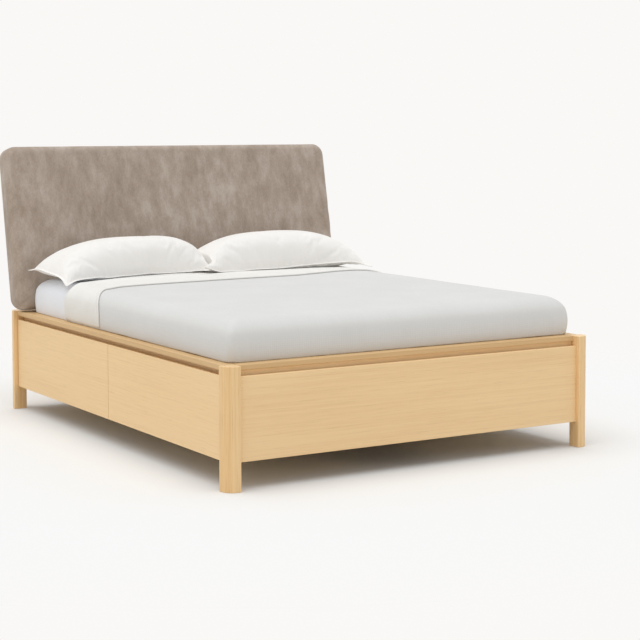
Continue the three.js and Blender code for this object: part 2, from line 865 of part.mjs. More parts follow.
// The pad lies flat here, its back on Z 0 and its face up; the group below stands it up.
function headboardPad() {
  const ringAt = (inset, z) => {
    const [halfX, halfY] = [padWidth / 2 - inset, padHeight / 2 - inset];
    return roundedRing([-halfX, halfX], [-halfY, halfY], padCornerRadius - inset, z);
  };
  const rings = padRingShares.map((share) => {
    const h = padRearRadius * share;
    return ringAt(roundInset(padRearRadius, padRearRadius - h), h);
  });
  for (let i = 0; i <= cornerSteps; i += 1) {
    const angle = (i / cornerSteps) * (Math.PI / 2);
    const z = padThickness - padCrown - padFrontRadius * (1 - Math.sin(angle));
    rings.push(ringAt(padFrontRadius * (1 - Math.cos(angle)), z));
  }
  const [flatX, flatY] = [padWidth / 2 - padFrontRadius, padHeight / 2 - padFrontRadius];
  const flatCorner = padCornerRadius - padFrontRadius;
  for (const share of padCrownShares) {
    const [x, y] = [flatX * share, flatY * share];
    rings.push(roundedRing([-x, x], [-y, y], flatCorner * share, padThickness - padCrown * share * share));
  }
  const reach = [padWidth / 2 - boardInset + softGap, padHeight / 2 - boardInset + softGap];
  const recess = block(
    [-reach[0], reach[0]],
    [-reach[1], reach[1]],
    [-overrun, boardThickness + softGap],
  );
  return cut(skin(rings), recess);
}

function headboardBoard() {
  const reach = [padWidth / 2 - boardInset, padHeight / 2 - boardInset];
  return block([-reach[0], reach[0]], [-reach[1], reach[1]], [0, boardThickness]);
}

// The Y of the leaning back plane at a height, moved back by a gap.
function leaningBack(z, gap) {
  const front = bedLength - headboardReach + (z - headboardBottom) * Math.tan(headboardLean);
  return front + (padThickness + gap) / Math.cos(headboardLean);
}

// A wedge that stands on the head cap behind the pad, with a tab down the head panel.
function strut(side) {
  const low = frameHeight + seatGap;
  const tabFace = bedLength - panelSetback + seatGap;
  const section = new THREE.Shape([
    new THREE.Vector2(tabFace, strutBottom),
    new THREE.Vector2(bedLength, strutBottom),
    new THREE.Vector2(bedLength, strutTop),
    new THREE.Vector2(leaningBack(strutTop, softGap), strutTop),
    new THREE.Vector2(leaningBack(low, softGap), low),
    new THREE.Vector2(tabFace, low),
  ]);
  const middle = side * halfWidth * strutPlaceShare;
  return carry(section, 'x', middle - strutWidth / 2, middle + strutWidth / 2);
}

function addHeadboard() {
  const lean = new THREE.Group();
  lean.rotation.x = Math.PI / 2 - headboardLean;
  const middle = (headboardBottom + headboardTop) / 2;
  lean.position.set(0, leaningBack(middle, 0), middle);
  bed.add(lean);
  add('headboard_pad', headboardPad(), 'upholstery', lean);
  add('headboard_board', headboardBoard(), 'plywood', lean);
  for (const side of [-1, 1]) {
    add(`headboard_strut_${sideName[side]}`, strut(side), 'oakRail');
  }
}

addLegs();
addFrame();
addUndercarriage();
addDrawers();
addHeadboard();
addBedding();

// The origin goes to the middle of the bed's bounding box, on the floor.
const extent = new THREE.Box3().setFromObject(bed, true);
bed.position.y = -(extent.min.y + extent.max.y) / 2;

export default bed;
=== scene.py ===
import json
import math

import bpy
import numpy as np
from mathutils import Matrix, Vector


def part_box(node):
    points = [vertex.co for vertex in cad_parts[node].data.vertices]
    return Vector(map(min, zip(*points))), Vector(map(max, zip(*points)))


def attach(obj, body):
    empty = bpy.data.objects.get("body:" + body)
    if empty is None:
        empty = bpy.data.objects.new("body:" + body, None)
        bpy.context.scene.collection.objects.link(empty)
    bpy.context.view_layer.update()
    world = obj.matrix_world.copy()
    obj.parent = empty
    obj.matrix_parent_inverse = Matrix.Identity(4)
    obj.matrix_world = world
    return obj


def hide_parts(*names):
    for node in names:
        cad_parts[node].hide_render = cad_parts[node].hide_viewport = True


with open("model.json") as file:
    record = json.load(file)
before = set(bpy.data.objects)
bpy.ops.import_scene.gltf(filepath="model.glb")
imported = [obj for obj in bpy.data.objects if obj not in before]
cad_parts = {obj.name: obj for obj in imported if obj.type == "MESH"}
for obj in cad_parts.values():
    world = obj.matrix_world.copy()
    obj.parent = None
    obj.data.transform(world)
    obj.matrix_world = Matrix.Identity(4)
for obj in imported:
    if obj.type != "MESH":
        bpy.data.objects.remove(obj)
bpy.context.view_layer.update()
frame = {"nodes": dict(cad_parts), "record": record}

# Sizes shared with the frame's solids, in metres
FOOT_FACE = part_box("leg_foot_left")[0].y  # the foot legs' outer face
BED_LENGTH = 2.160
HEAD_FACE = FOOT_FACE + BED_LENGTH  # the head legs' outer face
CAP_TOP = 0.455
FOOT_SPACE, HEAD_SPACE = 0.106, 0.176  # from those two faces to the mattress
MATTRESS_FOOT = FOOT_FACE + FOOT_SPACE
MATTRESS_HEAD = HEAD_FACE - HEAD_SPACE
MATTRESS_HALF_LENGTH = (MATTRESS_HEAD - MATTRESS_FOOT) / 2
MATTRESS_HALF_WIDTH = 0.758
MATTRESS_MIDDLE = (MATTRESS_FOOT + MATTRESS_HEAD) / 2
MATTRESS_BASE = 0.3576
MATTRESS_TOP = 0.6076
MATTRESS_CORNER = 0.062  # radius of its corners, seen from above
SHOULDER = 0.052  # radius of its upper edge
CROWN = 0.005  # how much higher its middle is
FLAT_ACROSS = MATTRESS_HALF_WIDTH - MATTRESS_CORNER
FLAT_ALONG = MATTRESS_HALF_LENGTH - MATTRESS_CORNER
SWELL = 0.027  # how far the bedding's sides stand out over the caps
TUCK = 0.419  # height at which the cloths end, behind the caps


# Meshes

def grid_faces(rows, columns, around=False):
    """Quads between neighbouring points of a grid numbered row by row; around joins its last
    column to its first."""
    row, column = np.meshgrid(np.arange(rows - 1), np.arange(columns - (not around)), indexing="ij")
    following = (column + 1) % columns
    corners = (row * columns + column, row * columns + following,
               (row + 1) * columns + following, (row + 1) * columns + column)
    return np.stack(corners, -1).reshape(-1, 4)


def new_piece(name, points, faces, material, flat_map=None):
    """A smooth mesh object at the origin; flat_map gives each point's place on the cut cloth."""
    mesh = bpy.data.meshes.new(name)
    mesh.from_pydata(points.reshape(-1, 3).tolist(), [], [list(face) for face in faces])
    mesh.polygons.foreach_set("use_smooth", np.ones(len(mesh.polygons), bool))
    if flat_map is not None:
        corner_points = np.empty(len(mesh.loops), np.int32)
        mesh.loops.foreach_get("vertex_index", corner_points)
        layer = mesh.uv_layers.new(name="cloth")
        corner_places = flat_map.reshape(-1, 2)[corner_points]
        layer.uv.foreach_set("vector", corner_places.astype(np.float32).ravel())
    mesh.update()
    piece = bpy.data.objects.new(name, mesh)
    bpy.context.scene.collection.objects.link(piece)
    piece.data.materials.append(material)
    return piece


def read_points(mesh):
    """A mesh's points as an array with one row for each."""
    points = np.empty(len(mesh.vertices) * 3)
    mesh.vertices.foreach_get("co", points)
    return points.reshape(-1, 3)


def write_points(mesh, points):
    """Puts an array like the one that read_points gives back into its mesh."""
    mesh.vertices.foreach_set("co", points.ravel())
    mesh.update()


def unevenness(u, v, seed):
    """Soft value noise from -1 to 1: random heights on a unit lattice, blended by smoothstep."""
    size = 64
    table = np.random.default_rng(seed).uniform(-1, 1, (size, size))
    i, j = np.floor(u).astype(int), np.floor(v).astype(int)
    s, t = u - i, v - j
    s, t = s * s * (3 - 2 * s), t * t * (3 - 2 * t)
    low = table[i % size, j % size] * (1 - s) + table[(i + 1) % size, j % size] * s
    high = table[i % size, (j + 1) % size] * (1 - s) + table[(i + 1) % size, (j + 1) % size] * s
    return low * (1 - t) + high * t


def step(low, high, value):
    """Smoothstep: 0 below low, 1 above high, and an S curve between."""
    t = np.clip((value - low) / (high - low), 0, 1)
    return t * t * (3 - 2 * t)


def hill(offset, width):
    """A smooth hill, 1 where the offset is none: e to minus the square of offset over width."""
    return np.exp(-(offset / width) ** 2)


# Materials

def linear(hex_colour):
    """An sRGB hex colour as the linear one that shaders take."""
    channels = [int(hex_colour[i:i + 2], 16) / 255 for i in (1, 3, 5)]
    return [c / 12.92 if c <= 0.04045 else ((c + 0.055) / 1.055) ** 2.4 for c in channels] + [1.0]


def add(tree, kind, settings=None, inputs=None):
    """Adds one shader node. settings are its own properties, with stops for a colour ramp;
    inputs are values for its sockets, or outputs to link to them."""
    node = tree.nodes.new("ShaderNode" + kind)
    for name, value in (settings or {}).items():
        if name == "stops":
            elements = node.color_ramp.elements
            while len(elements) < len(value):
                elements.new(0.5)
            for element, (position, colour) in zip(elements, value):
                element.position = position
                element.color = linear(colour)
        else:
            setattr(node, name, value)
    for name, value in (inputs or {}).items():
        if isinstance(value, bpy.types.NodeSocket):
            tree.links.new(value, node.inputs[name])
        else:
            node.inputs[name].default_value = value
    return node


def new_material(name):
    """An empty node material and its tree."""
    material = bpy.data.materials.new(name)
    material.use_nodes = True
    material.node_tree.nodes.clear()
    return material, material.node_tree


def patches(tree, place, sizes_mm, detail, shift, roughness):
    """A noise whose patches have the given sizes along x, y and z, moved along by a shift."""
    mapped = add(tree, "Mapping", {}, {
        "Vector": place, "Location": (shift,) * 3, "Scale": [1000 / size for size in sizes_mm]})
    return add(tree, "TexNoise", {}, {
        "Vector": mapped.outputs[0], "Scale": 1.0, "Detail": detail, "Roughness": roughness,
        "Distortion": 0.15}).outputs["Fac"]


def weighted_sum(tree, start, *terms):
    """The sum of a start and of patterns times their weights."""
    total = start
    for pattern, weight in terms:
        total = add(tree, "Math", {"operation": "MULTIPLY_ADD"}, {0: pattern, 1: weight, 2: total}).outputs[0]
    return total


def wood(name, grain, dark, middle, light, streak=9, line=2.2, contrast=1.0, roughness=0.5):
    """Planed wood with straight grain along one axis. Growth rings and pores are noises drawn
    out along the grain: streak and line are their widths across it, in millimetres."""
    material, tree = new_material(name)
    place = add(tree, "TexCoord").outputs["Object"]

    def drawn(across_mm, along_mm, detail, shift=0.0):
        sizes = [along_mm if axis == grain else across_mm for axis in "xyz"]
        return patches(tree, place, sizes, detail, shift, 0.55)

    # Boards differ a little in tone, rings run as soft streaks, and pores as short dark lines
    boards = drawn(260, 2600, 2.0)
    rings = drawn(streak, 1100, 4.0, 3.7)
    fibre = drawn(line, 140, 2.0, 8.1)
    pores = drawn(line * 0.7, 110, 1.0, 5.3)
    ring_weight, fibre_weight = 0.52 * contrast, 0.14 * contrast
    mean_tone = 0.33 - (ring_weight + fibre_weight) / 2  # brings the sum about the middle colour
    tone = weighted_sum(tree, mean_tone, (boards, 0.35), (rings, ring_weight), (fibre, fibre_weight))
    colour = add(tree, "ValToRGB", {"stops": [(0.25, dark), (0.5, middle), (0.78, light)]}, {"Fac": tone})
    open_pores = add(tree, "MapRange", {}, {
        "Value": pores, "From Min": 0.58, "From Max": 0.74, "To Min": 0.0, "To Max": 0.22 * contrast})
    shaded = add(tree, "Mix", {"data_type": "RGBA", "blend_type": "MULTIPLY"}, {
        0: open_pores.outputs[0], 6: colour.outputs[0], 7: linear("#a8855c")})
    sheen_break = add(tree, "MapRange", {}, {
        "Value": rings, "From Min": 0.3, "From Max": 0.7,
        "To Min": roughness - 0.06, "To Max": roughness + 0.08})
    relief = add(tree, "Math", {"operation": "SUBTRACT"}, {0: fibre, 1: open_pores.outputs[0]})
    bump = add(tree, "Bump", {}, {"Strength": 0.12, "Distance": 0.0006, "Height": relief.outputs[0]})
    surface = add(tree, "BsdfPrincipled", {}, {
        "Base Color": shaded.outputs[2], "Roughness": sheen_break.outputs[0], "IOR": 1.5,
        "Specular IOR Level": 0.35, "Normal": bump.outputs[0]})
    add(tree, "OutputMaterial", {}, {"Surface": surface.outputs[0]})
    return material


def woven_cotton(name, colour, shade, thread_mm=3.0, bump_mm=0.2, tone_mm=90, sheen=0.1):
    """Woven cotton on the cut cloth's own map, in metres: two crossed sets of threads as waves,
    and a soft mottle. It looks matt, with a weave that can just be seen from near by.
    thread_mm is drawn coarser than a real thread so that it shows."""
    material, tree = new_material(name)
    place = add(tree, "UVMap", {"uv_map": "cloth"}).outputs[0]
    # A wave of scale 1 is pi / 10 long, and each one here spans two threads
    waves = math.pi / 10 * 1000 / (2 * thread_mm)
    warp, weft = [add(tree, "TexWave", {"bands_direction": direction}, {
        "Vector": place, "Scale": waves, "Distortion": 1.2, "Detail": 1.0,
        "Detail Scale": 0.6}).outputs["Fac"] for direction in ("X", "Y")]
    threads = add(tree, "Math", {"operation": "ADD"}, {0: warp, 1: weft})
    slub_place = add(tree, "Mapping", {}, {"Vector": place, "Scale": (1000 / 7, 1000 / 70, 1.0)})
    slub = add(tree, "TexNoise", {}, {"Vector": slub_place.outputs[0], "Scale": 1.0, "Detail": 2.0})
    mottle = add(tree, "TexNoise", {}, {"Vector": place, "Scale": 1000 / tone_mm, "Detail": 3.0})
    tone = weighted_sum(tree, mottle.outputs["Fac"], (slub.outputs["Fac"], 0.5))
    base = add(tree, "ValToRGB", {"stops": [(0.45, shade), (0.95, colour)]}, {"Fac": tone})
    bump = add(tree, "Bump", {}, {
        "Strength": 0.35, "Distance": bump_mm / 1000, "Height": threads.outputs[0]})
    surface = add(tree, "BsdfPrincipled", {}, {
        "Base Color": base.outputs[0], "Roughness": 0.85, "Specular IOR Level": 0.2,
        "Sheen Weight": sheen, "Sheen Roughness": 0.5, "Normal": bump.outputs[0]})
    add(tree, "OutputMaterial", {}, {"Surface": surface.outputs[0]})
    return material


def chenille():
    """Chenille with a brushed pile, which looks soft and cloudy: upright patches and streaks where
    the pile lies different ways, 80 and 24 mm wide and two or three times as tall, over tufts
    6 mm across."""
    material, tree = new_material("taupe_chenille")
    place = add(tree, "TexCoord").outputs["Object"]
    broad, streaks, tufts = [
        patches(tree, place, (width, width, height), detail, shift, 0.6)
        for width, height, detail, shift in ((80, 170, 2.0, 1.3), (24, 75, 4.0, 6.1), (6, 11, 2.0, 2.9))]
    tone = weighted_sum(tree, broad, (streaks, 0.6), (tufts, 0.45))
    halved = add(tree, "Math", {"operation": "MULTIPLY"}, {0: tone, 1: 0.5})
    colour = add(tree, "ValToRGB", {"stops": [(0.32, "#978878"), (0.52, "#b0a194"), (0.72, "#c9bdb2")]}, {
        "Fac": halved.outputs[0]})
    bump = add(tree, "Bump", {}, {"Strength": 0.5, "Distance": 0.0012, "Height": tufts})
    surface = add(tree, "BsdfPrincipled", {}, {
        "Base Color": colour.outputs[0], "Roughness": 0.9, "Specular IOR Level": 0.15,
        "Sheen Weight": 0.25, "Sheen Roughness": 0.45, "Normal": bump.outputs[0]})
    add(tree, "OutputMaterial", {}, {"Surface": surface.outputs[0]})
    return material


def make_woods():
    """The finishes of the joinery, one for each way that the grain runs."""
    panels = {"dark": "#ecc895", "middle": "#f6d6a5", "light": "#fce2b7"}
    # The caps' colours hold painted shade from the overhanging bedding as well as the oak's own tone
    caps = {"dark": "#cba672", "middle": "#dab786", "light": "#e4c696"}
    # Oiled oak panels and rails: pale and calm, so they look almost plain
    finishes = {"fronts": wood("oiled_oak_fronts", "y", contrast=0.75, **panels),
                "ends": wood("oiled_oak_ends", "x", contrast=0.75, **panels)}
    finishes |= {f"rail_{grain}": wood(f"pale_oak_{grain}", grain, **panels) for grain in "xy"}
    # Oiled oak caps and legs: the caps are darker than the panels, partly a darker oak and partly
    # painted shade from the bedding that overhangs their tops; the legs show broader rings and have a soft
    # gloss
    finishes |= {f"cap_{grain}": wood(f"oak_caps_with_painted_shade_{grain}", grain, **caps) for grain in "xy"}
    finishes["legs"] = wood("oiled_oak_legs", "z", "#e4b87c", "#f2ce99", "#fbdfb3", streak=16, line=3.0,
                            contrast=1.2, roughness=0.32)
    # Hidden woods: plywood is even and broad in figure, waxed beech reddish, fine and a little
    # glossy, planed pine yellow with strong rings, and the turned posts a plain brown
    finishes["plywood"] = wood("birch_plywood", "x", "#d8bd92", "#e3cba4", "#ecd9b8", streak=26, contrast=0.7)
    finishes["beech"] = wood("waxed_beech", "x", "#c18d59", "#cf9f6b", "#daaf7e", streak=6, roughness=0.42)
    finishes["pine"] = wood("planed_pine", "x", "#dcbf8b", "#e9d2a6", "#f2e0bb", streak=18, contrast=1.3)
    finishes["post"] = wood("turned_hardwood", "z", "#a87d4d", "#b98f5e", "#c69d6c")
    return finishes


def finish_of(name, slot):
    """Which finish a solid has, or none where a soft piece replaces it."""
    if slot not in ("oak", "oak_rail"):
        return {"plywood": "plywood", "beech": "beech", "pine": "pine", "post_wood": "post"}.get(slot)
    if name.startswith(("leg_", "headboard_strut")):
        return "legs"
    if name.startswith("drawer_front"):
        return "fronts"
    grain = "y" if name.startswith("side_") else "x"
    if "cap" in name:
        return f"cap_{grain}"
    return "ends" if slot == "oak" else f"rail_{grain}"


def finish_frame(finishes):
    """Gives each solid its wood, with the grain along the piece."""
    slots = {row["node"]: row["material_slot"] for row in frame["record"]["subparts"]}
    for name, node in frame["nodes"].items():
        finish = finish_of(name, slots[name])
        if finish:
            for index in range(len(node.data.materials)):
                node.data.materials[index] = finishes[finish]


# Stage

def add_camera():
    """The photograph's camera: found by fitting a pinhole to the bed's measured edges."""
    data = bpy.data.cameras.new("camera")
    data.lens, data.sensor_width = 94.837, 36
    data.shift_x, data.shift_y = -0.06, -0.15
    camera = bpy.data.objects.new("camera", data)
    camera.location = (-3.6011, -6.3877, 1.3351)
    camera.rotation_euler = [math.radians(angle) for angle in (86.443, 0, -32.170)]
    bpy.context.scene.collection.objects.link(camera)
    bpy.context.scene.camera = camera


def add_light():
    """A pale world that lights from all round, and one broad soft lamp overhead, a little to
    the left. What the camera sees behind the bed has a colour of its own."""
    world = bpy.data.worlds.new("studio")
    bpy.context.scene.world = world
    world.use_nodes = True
    tree = world.node_tree
    tree.nodes.clear()
    path = add(tree, "LightPath")
    seen = path.outputs["Is Camera Ray"]
    for ray in ("Is Glossy Ray", "Is Transmission Ray"):
        seen = add(tree, "Math", {"operation": "MAXIMUM"}, {0: seen, 1: path.outputs[ray]}).outputs[0]
    light = add(tree, "Background", {}, {"Color": linear("#ffffff"), "Strength": 0.60})
    backdrop = add(tree, "Background", {}, {"Color": linear("#faf8f6"), "Strength": 1.0})
    mixed = add(tree, "MixShader", {}, {0: seen, 1: light.outputs[0], 2: backdrop.outputs[0]})
    add(tree, "OutputWorld", {}, {"Surface": mixed.outputs[0]})
    lamp = bpy.data.lights.new("soft_lamp", "SUN")
    lamp.energy, lamp.angle = 1.62, math.radians(70)
    key = bpy.data.objects.new("soft_lamp", lamp)
    toward = (-0.18, -0.04, 0.98)
    key.rotation_euler = (math.atan2(math.hypot(toward[0], toward[1]), toward[2]), 0,
                          math.atan2(toward[0], -toward[1]))
    bpy.context.scene.collection.objects.link(key)


def add_floor():
    """A pale floor that keeps the bed's shadow and fades into the backdrop further out."""
    reach = 14.0
    fade_start, fade_end = 1.7, 3.4
    square = np.array([[-reach, -reach, 0], [reach, -reach, 0], [reach, reach, 0], [-reach, reach, 0]])
    material, tree = new_material("pale_floor")
    path = add(tree, "LightPath")
    seen = path.outputs["Is Camera Ray"]
    colour = add(tree, "Mix", {"data_type": "RGBA"}, {0: seen, 6: linear("#e6e2dc"), 7: linear("#edeeee")})
    matt = add(tree, "BsdfDiffuse", {}, {"Color": colour.outputs[2]})
    place = add(tree, "TexCoord").outputs["Object"]
    distance = add(tree, "VectorMath", {"operation": "LENGTH"}, {0: place})
    far = add(tree, "MapRange", {"interpolation_type": "SMOOTHSTEP"}, {
        "Value": distance.outputs["Value"], "From Min": fade_start, "From Max": fade_end})
    faded = add(tree, "Math", {"operation": "MULTIPLY"}, {0: far.outputs[0], 1: seen})
    clear = add(tree, "BsdfTransparent")
    mixed = add(tree, "MixShader", {}, {0: faded.outputs[0], 1: matt.outputs[0], 2: clear.outputs[0]})
    add(tree, "OutputMaterial", {}, {"Surface": mixed.outputs[0]})
    new_piece("floor", square, [[0, 1, 2, 3]], material)


# Mattress and cloths

def swelling(z):
    """How far a side stands out at a height. It is widest a third of the way up from the caps,
    leans in as the square of the way to the top, hangs over the caps almost as far, and turns
    in sharply where it meets them."""
    widest, turn_in = 0.36, 0.003  # shares of the height from the caps to the top
    drawn_in = 0.25  # share of the swell that is lost at the caps
    rise = np.clip((z - CAP_TOP) / (MATTRESS_TOP - CAP_TOP), 0, 1)
    above = 1 - (np.maximum(rise - widest, 0) / (1 - widest)) ** 2
    below = 1 - drawn_in * (np.maximum(widest - rise, 0) / widest) ** 2
    return SWELL * above * below * (1 - np.exp(-rise / turn_in))


def crown(across, along):
    """How much higher the mattress's top is at a place: a parabola that ends at the flat top's
    edges."""
    edge = np.maximum(np.abs(across) / FLAT_ACROSS, np.abs(along) / FLAT_ALONG)
    return CROWN * (1 - np.clip(edge, 0, 1) ** 2)


def drape(across, along, lift):
    """Where points of a cloth lie on the mattress. across and along are metres from its middle,
    to the right and to the foot, measured over its surface. Past the flat top, the 8-norm of the
    two overhangs runs round the shoulder and down the side, and each one's share of it turns
    round the corner as a superellipse."""
    power = 8
    over_across = np.maximum(np.abs(across) - FLAT_ACROSS, 0)
    over_along = np.maximum(np.abs(along) - FLAT_ALONG, 0)
    over = (over_across ** power + over_along ** power) ** (1 / power)
    norm = np.maximum(over, 1e-9)  # so that nothing is divided by zero
    start, radius = MATTRESS_CORNER - SHOULDER, SHOULDER + lift
    angle = np.clip((over - start) / radius, 0, math.pi / 2)
    down = np.maximum(over - start - radius * math.pi / 2, 0)
    drop = radius * (1 - np.cos(angle)) + down
    out = np.minimum(over, start) + radius * np.sin(angle)
    out = out + swelling(MATTRESS_TOP - drop) * (over > 0)
    x = np.sign(across) * (np.minimum(np.abs(across), FLAT_ACROSS) + out * over_across / norm)
    from_middle = np.sign(along) * (np.minimum(np.abs(along), FLAT_ALONG) + out * over_along / norm)
    return np.stack([x, MATTRESS_MIDDLE - from_middle, MATTRESS_TOP + lift - drop + crown(across, along)], -1)


def settling(across, along):
    """Millimetre unevenness of a laid cloth: broad on the top, and upright pulls on the sides
    that grow towards the tuck. Each noise takes its patches per metre and a shift."""
    seed, slack = 11, 0.7
    least, broad_height, small_height, pull_height = 0.0022, 0.0016, 0.0007, 0.0016
    past_across, past_along = np.abs(across) - FLAT_ACROSS, np.abs(along) - FLAT_ALONG
    over = np.maximum(np.maximum(past_across, past_along), 0)
    broad = broad_height * unevenness(across * 3.1 + 7, along * 2.6 + 3, seed)
    broad = broad + small_height * unevenness(across * 8.3 + 1, along * 7.1 + 9, seed + 1)
    round_place = np.where(past_along > past_across, across, along)
    pulls = unevenness(round_place * 13, over * 4, seed + 2)
    pulls = pulls + 0.6 * unevenness(round_place * 31, over * 5, seed + 3)
    return slack * (broad + least + pull_height * pulls * step(0.05, 0.2, over))


def side_reach(lift):
    """How far past the flat top a cloth runs to end at the tuck."""
    radius = SHOULDER + lift
    return MATTRESS_CORNER - SHOULDER + radius * math.pi / 2 + (MATTRESS_TOP + lift - radius - TUCK)


def spread(low, high, count):
    """Places from low to high whose steps are finest at both ends."""
    finest = 0.35  # of an even step
    t = np.linspace(-1, 1, count)
    t = np.sign(t) * (1 - (1 - np.abs(t)) * (finest + (1 - finest) * (1 - np.abs(t))))
    return low + (high - low) * (t + 1) / 2


def meeting_places(end):
    """Places just before a cloth's end where it turns in to meet a cap's top."""
    over_cap = np.array([-0.0008, 0.0, 0.0005, 0.0011, 0.002, 0.0035])
    return end - (CAP_TOP - TUCK) - over_cap


def cloth_columns(reach, count):
    """Places across a cloth from tuck to tuck, closer together where it meets the caps."""
    end = FLAT_ACROSS + reach
    sides = meeting_places(end)
    return np.sort(np.concatenate([spread(-end, end, count), sides, -sides]))


def fold_along(across):
    """Place along the bed of the top sheet's fold, which starts low at the left and runs back
    under the pillows as the cube of the way that is left to the right."""
    left, right = 0.572, 0.330  # its distances from the head end
    share = np.clip(0.5 + across / (2 * MATTRESS_HALF_WIDTH), 0, 1)
    return MATTRESS_MIDDLE - (HEAD_FACE - (right + (left - right) * (1 - share) ** 3))


# The turned-down sheet's edge as seen in the photograph: place across, distance from the head end
TURNED_EDGE = [
    # Up the left side and round the left shoulder
    (-0.95, 0.935), (-0.895, 0.932), (-0.836, 0.940), (-0.787, 0.918), (-0.741, 0.852),
    (-0.728, 0.843), (-0.706, 0.833), (-0.679, 0.817), (-0.626, 0.783),
    # Over the top
    (-0.551, 0.771), (-0.469, 0.767), (-0.308, 0.765), (-0.144, 0.756), (0.076, 0.752), (0.291, 0.738),
    # Back towards the right pillow, round the right shoulder and down the right side
    (0.40, 0.700), (0.539, 0.648), (0.66, 0.632), (0.71, 0.655), (0.75, 0.74), (0.79, 0.82), (0.95, 0.84)]


def turn_along(across):
    """Place along the bed of the turned-down sheet's edge: straight stretches between its places,
    rounded by a moving average of 11 points 5 mm apart."""
    places, backs = np.transpose(TURNED_EDGE)
    wide = np.linspace(places[0], places[-1], 381)
    window = 11
    kernel = np.hanning(window)
    line = np.pad(np.interp(wide, places, backs), window // 2, mode="edge")
    line = np.convolve(line, kernel / kernel.sum(), mode="valid")
    return MATTRESS_MIDDLE - (HEAD_FACE - np.interp(across, wide, line))


def thicken(piece, thickness):
    """Gives a cloth its thickness, outwards from the surface that was laid."""
    modifier = piece.modifiers.new("thickness", "SOLIDIFY")
    modifier.thickness, modifier.offset = thickness, 1


def coverlet(material):
    """A coverlet from the fold to the foot tuck: a flat grid of across and along, draped."""
    thickness, lift, past_fold = 0.0026, 0.0006, 0.006
    columns, rows = 187, 180
    reach = side_reach(lift)
    across = cloth_columns(reach, columns)
    head, foot = fold_along(across) + past_fold, FLAT_ALONG + reach
    along = head + spread(0, 1, rows)[:, None] * (foot - head)
    foot_rows = np.repeat(meeting_places(foot)[:, None], len(across), 1)
    along = np.sort(np.concatenate([along, foot_rows]), axis=0)
    wide = np.broadcast_to(across, along.shape)
    points = drape(wide, along, lift + settling(wide, along))
    faces = grid_faces(*along.shape)[:, ::-1]
    piece = new_piece("coverlet_cloth", points, faces, material, np.stack([wide, along], -1))
    thicken(piece, thickness)
    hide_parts("coverlet")
    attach(piece, "frame")


def top_sheet(material):
    """The top sheet turned back over the coverlet. Its rows run from under the turned edge,
    round it, over the band, round the fold and back under: each edge is a half circle."""
    bed, thickness, edge_roll, fold_roll, under = 0.0052, 0.0012, 0.0022, 0.0024, 0.016
    edge_fall, fold_fall = 0.03, 0.05  # widths over which the band comes down from the two edges
    deeper = 0.003  # how much further than the coverlet it is tucked in
    columns, roll_rows, tail_rows, body_rows = 231, 9, 5, 42
    reach = side_reach(bed) + deeper
    across = cloth_columns(reach, columns)
    turned, fold = turn_along(across), fold_along(across)
    angle = np.linspace(math.pi, 0, roll_rows)[:, None]
    tail = np.linspace(under, 0, tail_rows)[:-1, None]
    share = np.linspace(0, 1, body_rows)[1:-1, None]
    low = bed + 0 * turned
    edge_top, fold_top = low + 2 * edge_roll, low + 2 * fold_roll
    foot_centre, head_centre = turned - edge_roll, fold + fold_roll
    body = foot_centre + share * (head_centre - foot_centre)
    lift_body = low + (edge_top - low) * (1 - step(0, edge_fall, foot_centre - body))
    lift_body = lift_body + (fold_top - low) * (1 - step(0, fold_fall, body - head_centre))
    tail_lift = np.broadcast_to(low, (len(tail), len(across)))
    along = np.concatenate([
        foot_centre - tail, foot_centre + edge_roll * np.sin(angle), body,
        head_centre - fold_roll * np.sin(angle[::-1]), head_centre + tail[::-1]])
    lift = np.concatenate([
        tail_lift, low + edge_roll * (1 + np.cos(angle)), lift_body,
        low + fold_roll * (1 + np.cos(angle[::-1])), tail_lift])
    wide = np.broadcast_to(across, along.shape)
    points = drape(wide, along, lift + settling(wide, along))
    # The cut cloth's length is measured along its middle column
    steps = [np.diff(part[:, len(across) // 2]) for part in (along, lift)]
    cut = np.concatenate([[0.0], np.cumsum(np.hypot(*steps))])
    flat = np.stack([wide, np.broadcast_to(cut[:, None], along.shape)], -1)
    piece = new_piece("turned_sheet", points, grid_faces(*along.shape), material, flat)
    thicken(piece, thickness)
    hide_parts("top_sheet")
    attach(piece, "frame")


def bedding_height(x, y):
    """Height of the made bed under a point: the top with its crown, the shoulders, which fall as
    a quarter circle, and past the fold the two cloths, with the fold's own roll along it."""
    sheet, cloths, cloths_rise, roll, roll_width = 0.0015, 0.0075, 0.02, 0.0045, 0.05
    along = MATTRESS_MIDDLE - y
    start = MATTRESS_CORNER - SHOULDER
    over = np.maximum(np.abs(x) - FLAT_ACROSS, np.abs(along) - FLAT_ALONG) - start
    drop = SHOULDER * (1 - np.sqrt(1 - np.clip(over / SHOULDER, 0, 1) ** 2))
    past = along - fold_along(x)
    on_cloths = step(-cloths_rise, 0.0, past)
    laid = sheet + cloths * on_cloths + roll * (on_cloths - step(0.0, roll_width, past))
    return MATTRESS_TOP + laid + crown(x, along) - drop


# Mattress and headboard, from rings

def ring_frame():
    """Where round a rounded rectangle each point of a ring sits: its corner centre as shares of
    the two half sizes, and its angle. Arcs and straights take turns, anticlockwise."""
    arc_steps, side_steps = 14, 44
    arc = np.linspace(0, 1, arc_steps + 1)
    straight = np.linspace(0, 1, side_steps + 1)[1:-1]
    signs = np.array([[1, 1], [-1, 1], [-1, -1], [1, -1]], float)
    centres, angles = [], []
    for quarter in range(4):
        here, following = signs[quarter], signs[(quarter + 1) % 4]
        centres += [np.repeat(here[None], len(arc), 0), here + straight[:, None] * (following - here)]
        angles += [(quarter + arc) * math.pi / 2, np.full(len(straight), (quarter + 1) * math.pi / 2)]
    return np.concatenate(centres), np.concatenate(angles)


